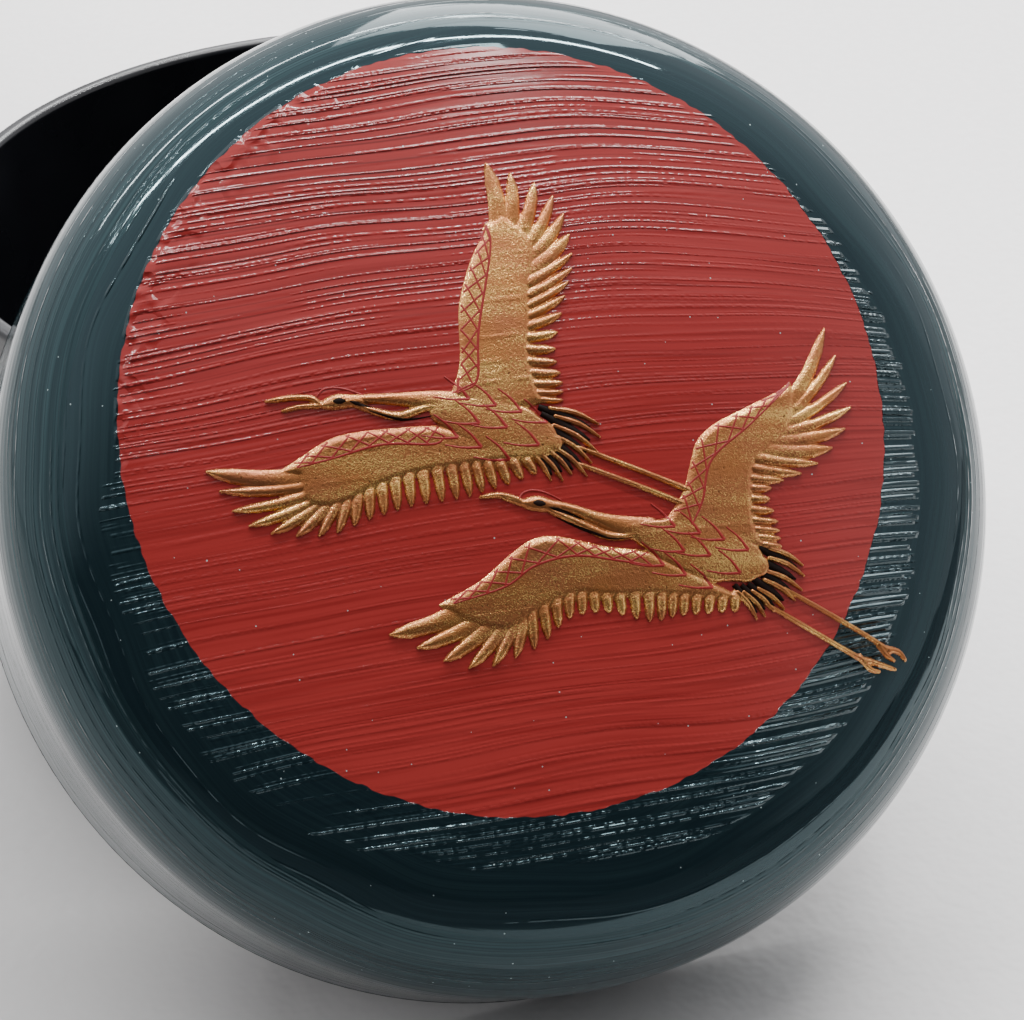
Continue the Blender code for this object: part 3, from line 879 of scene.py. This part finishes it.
RIGHT_CRANE = {
    "name": "right",
    "at": (8.4, -5.0),
    "scales": (0.4, -0.3),
    "wings": (RIGHT_RAISED_WING, RIGHT_SPREAD_WING),
    "beak": ((-13.5, 2.0), (-12.1, 2.2), (-10.9, 1.95), (-10.1, 1.55)),
    "jaw": ((-11.9, 2.0), (-10.9, 1.75), (-10.1, 1.5)),
    "head": ((-10.3, 1.6), (-9.8, 1.6), (-9.1, 1.6), (-8.3, 1.5), (-7.6, 1.4)),
    "nape": ((-8.4, 1.65), (-6.3, 1.2), (-4.4, 0.55), (-2.6, 0.1), (-0.4, -0.3)),
    "throat": ((-8.4, 1.2), (-6.9, 0.6), (-5.1, -0.15), (-4.0, -0.6), (-2.8, -0.75), (-1.0, -0.45)),
    "stripe": ((-8.3, 1.3), (-7.1, 1.0), (-5.5, 0.45)),
    "under": ((-7.7, 0.6), (-6.3, 0.0), (-4.8, -0.55), (-3.4, -0.95), (-1.8, -0.8)),
    "crown": ((-10.6, 1.9), (-10.2, 2.4), (-9.4, 2.6), (-8.4, 2.4), (-7.3, 1.9)),
    "tail": (
        (12.2, -2.5), (12.3, -3.3), (12.1, -4.4), (11.5, -5.2), (10.6, -5.9), (9.7, -6.1), (9.0, -6.5),
        (8.3, -6.7),
    ),
    "root": (
        (9.4, -1.3), (9.4, -2.0), (9.0, -3.0), (8.9, -3.7), (8.4, -4.4), (7.9, -4.6), (7.2, -4.7),
        (6.7, -4.7),
    ),
    "legs": (((10.6, -4.3), (17.2, -7.5), (19.7, -8.9)), ((9.0, -5.5), (14.4, -8.2), (17.7, -9.8))),
    "toes": (
        ((19.3, -8.7), (20.5, -8.9), (21.1, -9.5)), ((18.8, -8.5), (19.4, -9.2), (20.1, -9.6)),
        ((17.4, -9.6), (19.1, -10.0), (20.2, -10.3)), ((17.1, -9.4), (18.0, -10.3), (18.8, -10.5)),
    ),
}
CRANES = (LEFT_CRANE, RIGHT_CRANE)


def mix2(a, b, t):
    return (a[0] + (b[0] - a[0]) * t, a[1] + (b[1] - a[1]) * t)


def along(start, angle, distance):
    return (start[0] + distance * math.cos(angle), start[1] + distance * math.sin(angle))


def smooth_path(knots, t):
    last = len(knots) - 1
    i = min(max(int(t * last), 0), last - 1)
    u = t * last - i
    p1 = knots[i]
    p2 = knots[i + 1]
    p0 = knots[i - 1] if i > 0 else (2 * p1[0] - p2[0], 2 * p1[1] - p2[1])
    p3 = knots[i + 2] if i + 2 <= last else (2 * p2[0] - p1[0], 2 * p2[1] - p1[1])
    out = []
    for a, b, c, d in zip(p0, p1, p2, p3):
        square = (2 * a - 5 * b + 4 * c - d) * u ** 2
        cube = (3 * b - a - 3 * c + d) * u ** 3
        out.append(0.5 * (2 * b + (c - a) * u + square + cube))
    return tuple(out)


def smooth_line(knots, steps):
    return [smooth_path(knots, k / steps) for k in range(steps + 1)]


class Drawing:
    """Height field of one crane, and the painted lines that lie on it."""

    def __init__(self, crane):
        self.crane = crane
        n = int(2 * FIELD_REACH / FIELD_STEP)
        self.axis = np.linspace(-FIELD_REACH, FIELD_REACH, n)
        self.px, self.py = np.meshgrid(self.axis, self.axis, indexing="xy")
        self.h = np.full(self.px.shape, UNDER_FIELD)
        self.red = []
        self.black = []
        self.low = []

    def window(self, points, margin):
        x = [p[0] for p in points]
        y = [p[1] for p in points]
        i0, i1 = np.searchsorted(self.axis, (min(x) - margin, max(x) + margin))
        j0, j1 = np.searchsorted(self.axis, (min(y) - margin, max(y) + margin))
        return slice(j0, j1), slice(i0, i1)

    def strip(self, path, widths, relief, plump=1.0, fade=0.0):
        # rounded bar with changing width; below zero outside it
        w = self.window(path, 1.5)
        px = self.px[w]
        py = self.py[w]
        best = np.full(px.shape, UNDER_FIELD)
        lengths = [math.dist(p, q) for p, q in zip(path, path[1:])]
        total = sum(lengths)
        done = 0.0
        for p, q, w0, w1, length in zip(path, path[1:], widths, widths[1:], lengths):
            dx = q[0] - p[0]
            dy = q[1] - p[1]
            t = np.clip(((px - p[0]) * dx + (py - p[1]) * dy) / (length * length), 0.0, 1.0)
            d = np.hypot(px - p[0] - t * dx, py - p[1] - t * dy)
            half = 0.5 * (w0 + (w1 - w0) * t)
            hump = np.maximum(1.0 - (d / half) ** 2, 0.0)
            edge = np.minimum((half - d) / 0.28, 1.0)
            edge = np.where(edge > 0, 1.0 - (1.0 - edge) ** 2, 2.0 * edge)
            rise = relief
            if fade:
                rise = relief * np.clip((done + t * length) / (fade * total), 0.0, 1.0)
            h = np.where(d < half, rise * (plump * hump + (1.0 - plump) * edge), relief * edge)
            best = np.maximum(best, h)
            done += length
        self.h[w] = np.maximum(self.h[w], best)

    def plate(self, outline, relief, rounding=0.32):
        w = self.window(outline, 1.0)
        px = self.px[w]
        py = self.py[w]
        best = np.full(px.shape, 1e9)
        inside = np.zeros(px.shape, dtype=bool)
        for p, q in zip(outline, outline[1:] + outline[:1]):
            dx = q[0] - p[0]
            dy = q[1] - p[1]
            t = np.clip(((px - p[0]) * dx + (py - p[1]) * dy) / (dx * dx + dy * dy + 1e-12), 0.0, 1.0)
            best = np.minimum(best, np.hypot(px - p[0] - t * dx, py - p[1] - t * dy))
            if dy != 0:
                inside ^= ((p[1] > py) != (q[1] > py)) & (px < dx * (py - p[1]) / dy + p[0])
        v = np.where(inside, best, -best) / rounding
        rise = np.where(v > 0, 1.0 - (1.0 - np.minimum(v, 1.0)) ** 2, 2.0 * v)
        self.h[w] = np.maximum(self.h[w], relief * rise)

    def sample(self, x, y):
        n = len(self.axis)
        step = self.axis[1] - self.axis[0]
        fx = np.clip((x - self.axis[0]) / step, 0, n - 1.001)
        fy = np.clip((y - self.axis[0]) / step, 0, n - 1.001)
        i = fx.astype(int)
        j = fy.astype(int)
        u = fx - i
        v = fy - j
        h = self.h
        low = h[j, i] * (1 - u) + h[j, i + 1] * u
        high = h[j + 1, i] * (1 - u) + h[j + 1, i + 1] * u
        return low * (1 - v) + high * v


def feather_point(knots, i):
    # point of feather i, with three feathers to each knot
    return smooth_path(knots, min((i / 3.0) / (len(knots) - 1), 1.0))


def across_covert(lead, rear):
    # the point of the leading edge across from a point of the painted line
    front = min(lead, key=lambda p: math.dist(p, rear))
    return mix2(front, rear, 0.04)


def draw_feather(d, wing, i, before, back):
    kind = LONG_FEATHER if i < FINGERS else SHORT_FEATHER
    end = feather_point(wing["tips"], i)
    here = feather_point(wing["notches"], i)
    base = mix2(before, here, 0.5)
    gap = math.dist(before, here)
    start = (base[0] + (base[0] - end[0]) * back, base[1] + (base[1] - end[1]) * back)
    away = (-(end[1] - start[1]), end[0] - start[0])
    path = []
    for k in (0.0, 0.2, 0.4, 0.6, 0.8, 0.92, 1.0):
        p = mix2(start, end, k)
        lift = wing["curl"] * kind["curl"] * math.sin(math.pi * k)
        path.append((p[0] + away[0] * lift, p[1] + away[1] * lift))
    foot = min(gap * 1.06, 1.5)
    wide = min(max(gap * 0.85, kind["least"]), kind["most"])
    widths = [foot * k for k in kind["foot"]] + [wide * k for k in kind["blade"]]
    d.strip(path, widths, RELIEF_HEIGHT * FEATHER_RELIEF, plump=0.7, fade=kind["fade"])


def draw_wing(d, wing):
    edge = wing["edge"]
    last = len(edge) - 1
    lead = smooth_line(edge, 8 * last)[: 8 * (last - 1) + 1]
    count = wing["feathers"]
    trail = [feather_point(wing["notches"], i) for i in range(count)]
    d.plate(lead + trail + [wing["root"]], RELIEF_HEIGHT * WING_RELIEF, 0.55)
    local = np.random.default_rng(count)
    for i in range(count - 1, -1, -1):
        before = trail[i - 1] if i else smooth_path(edge, (last - 1) / last)
        back = 0.6 if i < FINGERS else 0.6 + 0.2 * local.random()
        draw_feather(d, wing, i, before, back)
    # painted line that bounds the small feathers, and the crossed lines before it
    bound = smooth_line(wing["covert"], 40)
    d.red.append((bound, [0.14 + 0.13 * math.sin(math.pi * (k / 40) ** 0.8) for k in range(41)]))
    even, length = resample(bound, 0.1)
    hatches = round(length[-1] / HATCH_CELL)
    last = len(even) - 1
    for k in range(hatches):
        near_rear = even[int(last * k / hatches)]
        far_rear = even[min(int(last * (k + HATCH_REACH) / hatches), last)]
        near_front = across_covert(lead, near_rear)
        far_front = across_covert(lead, far_rear)
        for p, q in ((near_front, far_rear), (near_rear, far_front)):
            d.red.append((smooth_line((p, mix2(p, q, 0.5), q), 6), [HATCH_WIDTH] * 7))


def draw_scales(d, crane):
    # overlapping V shaped feathers on the back, points toward the tail
    beside = BODY_TURN + math.pi / 2
    behind = BODY_TURN + math.pi
    for a, b in SCALE_TIPS:
        point = along((0.0, 0.0), BODY_TURN, a + crane["scales"][0])
        point = along(point, beside, b + crane["scales"][1])
        for root_back, root_side, bulge_back, bulge_side, width, growth in SCALE_SIDES:
            root = along(along(point, behind, root_back), beside, root_side)
            bulge = along(along(point, behind, bulge_back), beside, bulge_side)
            widths = [width + growth * (j / 10) ** 1.3 for j in range(11)]
            d.red.append((smooth_line((root, bulge, point), 10), widths))


def draw_tail(d, crane):
    # thin gold quills with black between them
    roots = crane["root"]
    ends = crane["tail"]
    for root, end in zip(roots, ends):
        middle = mix2(root, end, 0.5)
        side = (-(end[1] - root[1]) * 0.07, (end[0] - root[0]) * 0.07)
        bent = (middle[0] + side[0], middle[1] + side[1])
        d.strip(smooth_line((root, bent, end), 6), QUILL_WIDTHS, RELIEF_HEIGHT * 0.85)
    for last_root, root, last_end, end in zip(roots, roots[1:], ends, ends[1:]):
        between = (mix2(last_root, root, 0.5), mix2(last_end, end, 0.5))
        inner = mix2(*between, -0.3)
        outer = mix2(*between, 0.8)
        wide = min(0.9 * math.dist(last_end, end), 0.8)
        path = [inner, *(mix2(inner, outer, t) for t in (0.3, 0.6, 0.85)), outer]
        d.low.append((path, [0.5, wide, wide, wide * 0.7, 0.12]))


def draw_crane(crane):
    d = Drawing(crane)
    for wing in crane["wings"]:
        draw_wing(d, wing)
    draw_tail(d, crane)
    torso = [along((0.0, 0.0), BODY_TURN, t) for t in (-0.6, 1.2, 3.2, 5.2, 6.8, 8.0)]
    low = [(x, y - 0.6) for x, y in torso]
    d.strip(low, [2.2, 3.4, 4.1, 4.1, 3.1, 1.5], RELIEF_HEIGHT * 0.95, plump=0.2)
    if crane["name"] == "right":
        behind = [(x + 0.8, y - 0.6) for x, y in torso[1:]]
        d.strip(behind, [3.0, 3.8, 4.0, 3.2, 1.7], RELIEF_HEIGHT * 0.95, plump=0.2)
    strokes = [
        (crane["nape"], [0.7 + 1.5 * (k / 12) ** 2.2 for k in range(13)], 0.9, 0.6),
        (crane["throat"], [0.42 + 0.3 * math.sin(math.pi * k / 12) for k in range(13)], 0.85, 0.7),
        (crane["head"], HEAD_WIDTHS, 1.0, 0.6),
        (crane["beak"], BEAK_WIDTHS, 0.8, 1.0),
        (crane["jaw"], JAW_WIDTHS, 0.75, 1.0),
    ]
    strokes += [(leg, LEG_WIDTHS, 0.75, 1.0) for leg in crane["legs"]]
    strokes += [(toe, TOE_WIDTHS, 0.7, 1.0) for toe in crane["toes"]]
    for knots, widths, share, plump in strokes:
        d.strip(smooth_line(knots, len(widths) - 1), widths, RELIEF_HEIGHT * share, plump)
    draw_scales(d, crane)
    crown = [0.12 + 0.08 * math.sin(math.pi * k / 14) for k in range(15)]
    d.red.append((smooth_line(crane["crown"], 14), crown))
    eye = crane["head"][2]
    look = math.atan2(crane["head"][3][1] - eye[1], crane["head"][3][0] - eye[0])
    d.black.append(([along(eye, look, t) for t in (-0.45, -0.15, 0.2, 0.5)], [0.2, 0.6, 0.62, 0.2]))
    d.black.append((smooth_line(crane["stripe"], 8), STRIPE_WIDTHS))
    d.black.append((smooth_line(crane["under"], 10), UNDER_WIDTHS))
    return d


def picture_to_lid(crane, x, y):
    return rotate(x + crane["at"][0], y + crane["at"][1], PICTURE_TURN)


def crane_field(d, name):
    keep = d.h > -0.12
    cell = keep[:-1, :-1] & keep[1:, :-1] & keep[:-1, 1:] & keep[1:, 1:]
    cell &= np.maximum.reduce([d.h[:-1, :-1], d.h[1:, :-1], d.h[:-1, 1:], d.h[1:, 1:]]) > -0.08
    j, i = np.nonzero(cell)
    n = d.h.shape[1]
    quads = np.stack([j * n + i, j * n + i + 1, (j + 1) * n + i + 1, (j + 1) * n + i], axis=1)
    used, quads = np.unique(quads, return_inverse=True)
    quads = quads.reshape(-1, 4)
    x, y = picture_to_lid(d.crane, d.px.ravel()[used], d.py.ravel()[used])
    z = top_z(np.hypot(x, y)) + np.minimum(d.h.ravel()[used], RELIEF_HEIGHT) - 0.01
    obj = build(name, np.stack([x, y, z], axis=1), quads, GOLD, LEAN, {"brush": brushed(x, y)})
    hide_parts("lid")


def ribbons(d, name, strokes, material, lift, sink, level=None):
    # painted lines, which follow the relief or lie at one level
    profile = ((-1.0, -sink), (-0.6, lift * 0.8), (0.0, lift), (0.6, lift * 0.8), (1.0, -sink))
    co = []
    faces = []
    first = 0
    for path, widths in strokes:
        line, s = resample(path, STROKE_STEP)
        lengths = np.hypot(*np.diff(np.asarray(path, float), axis=0).T)
        wide = np.interp(s, np.concatenate([[0.0], np.cumsum(lengths)]), widths)
        normal = left_of(line)
        rows = []
        for k, up in profile:
            px, py = (line + normal * (wide * 0.5 * k)[:, None]).T
            h = np.maximum(d.sample(px, py), -0.03) if level is None else level
            x, y = picture_to_lid(d.crane, px, py)
            rows.append(np.stack([x, y, top_z(np.hypot(x, y)) + h - 0.01 + up], axis=1))
        co.append(np.stack(rows, axis=1).reshape(-1, 3))
        faces.append(lattice(len(line), len(profile))[:, ::-1] + first)
        first += len(co[-1])
    obj = build(name, np.concatenate(co), np.concatenate(faces), material, LEAN)
    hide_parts("lid")


lid_top()
lid_side()
lid_inside()
body_outside()
body_inside()
for crane in CRANES:
    drawing = draw_crane(crane)
    crane_field(drawing, "crane_gold_" + crane["name"])
    ribbons(drawing, "crane_red_" + crane["name"], drawing.red, RED_INK, 0.022, 0.03)
    ribbons(drawing, "crane_black_" + crane["name"], drawing.black, BLACK_INK, 0.03, 0.03)
    ribbons(drawing, "crane_tail_" + crane["name"], drawing.low, BLACK_INK, 0.03, 0.18, 0.09)

# Floor: paper as far as PAPER_EDGE, and dark floor before it
PAPER_EDGE = -0.118
PAPER_GRAIN = 650.0
FLOOR_CORNERS = ((-1.6, -2.2, 0), (1.6, -2.2, 0), (1.6, 2.6, 0), (-1.6, 2.6, 0))
STUDIO_STRENGTH = 1.12


def paper_floor():
    mat, tree, surface = new_material("floor_paper")
    place = Value(tree, tree.nodes.new("ShaderNodeTexCoord").outputs["Object"])
    patch = noise(place, PAPER_GRAIN, 1.0, 0.6)
    x, y, _ = split(place)
    # painted shade: the paper darkens toward the front and the left, where the lid's shadow falls
    paper = blend_colour(span(x + y * 0.35, -0.08, 0.07), FLOOR_SHADE_AND_MOTTLE, FLOOR_PALE)
    paper = blend_colour(span(x, 0.15, 0.32, 0.0, 1.0, True), paper, FLOOR_FAR)
    paper = blend_colour(span(patch, 0.35, 0.65, 0.0, 0.06), paper, FLOOR_SHADE_AND_MOTTLE)
    connect(surface, {
        "Base Color": blend_colour(span(y, PAPER_EDGE - 0.002, PAPER_EDGE), FLOOR_FRONT_DARK, paper),
        "Roughness": 0.75,
        "Normal": bump(patch, 0.0002, 0.45),
    })
    mesh = bpy.data.meshes.new("floor")
    mesh.from_pydata(FLOOR_CORNERS, [], [(0, 1, 2, 3)])
    mesh.materials.append(mat)
    floor = bpy.data.objects.new("floor", mesh)
    bpy.context.scene.collection.objects.link(floor)


def light(name, place, target, width, height, power):
    data = bpy.data.lights.new(name, "AREA")
    data.shape = "RECTANGLE"
    data.size = width
    data.size_y = height
    data.energy = power
    obj = bpy.data.objects.new(name, data)
    obj.location = place
    obj.rotation_euler = (Vector(target) - Vector(place)).to_track_quat("-Z", "Y").to_euler()
    bpy.context.scene.collection.objects.link(obj)


def studio_world():
    # pale above and behind, and at both sides; dark in front
    world = bpy.data.worlds.new("studio")
    bpy.context.scene.world = world
    world.use_nodes = True
    tree = world.node_tree
    x, y, z = split(Value(tree, tree.nodes.new("ShaderNodeTexCoord").outputs["Generated"]))
    over = maths("DIVIDE", y, maths("MAXIMUM", z, 0.02))
    above = span(over, -1.0, -0.1, 0.0, 1.0, True)
    right = span(x, 0.38, 0.78, 0.0, 0.75, True)
    left = span(x, -0.90, -0.96, 0.0, 0.75, True)
    lit = maths("MAXIMUM", above, maths("MAXIMUM", right, left))
    colour = blend_colour(lit, STUDIO_DARK, STUDIO_PALE)
    connect(tree.nodes["Background"].inputs, {"Color": colour, "Strength": STUDIO_STRENGTH})


paper_floor()
studio_world()
light("near_tube", (0.0, 0.24, 0.75), (-0.03, -0.03, 0.03), 1.15, 0.010, 8.0)
light("far_tube", (0.0, 0.62, 0.66), (-0.03, -0.03, 0.03), 1.3, 0.008, 3.0)
light("window", (0.22, -0.03, 0.72), (0.0, -0.03, 0.05), 0.26, 0.07, 1.2)
light("back", (0.6, 1.0, 0.9), (0.0, 0.0, 0.0), 0.9, 0.9, 20.0)

# Camera
CAMERA_AZIMUTH = math.radians(-17.792)
CAMERA_ELEVATION = math.radians(32.993)
CAMERA_ROLL = math.radians(-1.072)
CAMERA_DISTANCE = 0.233485
CAMERA_LENS = 97.126
AIM_RIGHT = 0.003638
AIM_UP = 0.000115


def camera():
    data = bpy.data.cameras.new("camera")
    data.lens = CAMERA_LENS
    data.sensor_width = 36.0
    data.clip_start = 0.01
    obj = bpy.data.objects.new("camera", data)
    bpy.context.scene.collection.objects.link(obj)
    back = Vector((
        math.sin(CAMERA_AZIMUTH) * math.cos(CAMERA_ELEVATION),
        -math.cos(CAMERA_AZIMUTH) * math.cos(CAMERA_ELEVATION),
        math.sin(CAMERA_ELEVATION),
    ))
    right = Vector((math.cos(CAMERA_AZIMUTH), math.sin(CAMERA_AZIMUTH), 0.0))
    up = back.cross(right)
    c = math.cos(CAMERA_ROLL)
    s = math.sin(CAMERA_ROLL)
    right, up = c * right + s * up, c * up - s * right
    rim_centre = LEAN @ Vector((0.0, 0.0, 0.0))
    eye = rim_centre + AIM_RIGHT * right + AIM_UP * up + CAMERA_DISTANCE * back
    obj.matrix_world = Matrix((
        (right.x, up.x, back.x, eye.x),
        (right.y, up.y, back.y, eye.y),
        (right.z, up.z, back.z, eye.z),
        (0.0, 0.0, 0.0, 1.0),
    ))
    bpy.context.scene.camera = obj


camera()
